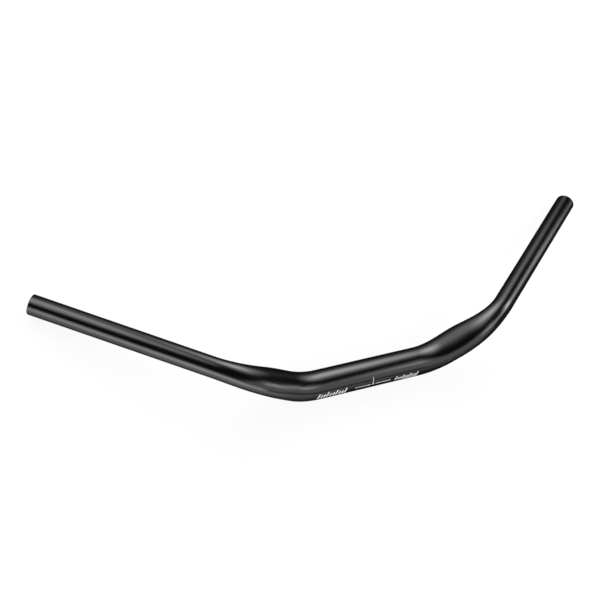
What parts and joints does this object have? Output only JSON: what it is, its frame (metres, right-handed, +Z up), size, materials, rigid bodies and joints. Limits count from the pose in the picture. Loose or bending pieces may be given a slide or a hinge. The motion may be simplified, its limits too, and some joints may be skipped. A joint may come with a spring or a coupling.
{
  "type": "bicycle handlebar",
  "caption": "Swept-back riser handlebar: one bent aluminium tube with a round clamp area, tapered flattened shoulders and open grip ends.",
  "frame": {"origin": "centre of the clamp area, on its axis", "axes": "+X along the clamp axis to the rider's left, +Y towards the rider, to whom the grips sweep back, +Z up; the bar lies at rest on the clamp area and both end rims, and a turn of +16.96 degrees about +X brings the grips level, as ridden"},
  "size_m": [0.6732, 0.1784, 0.0603],
  "materials": {
    "black_aluminium": "black anodised, semi-gloss"
  },
  "bodies": {
    "root": {"handlebar": "black_aluminium"}
  },
  "joints": []
}
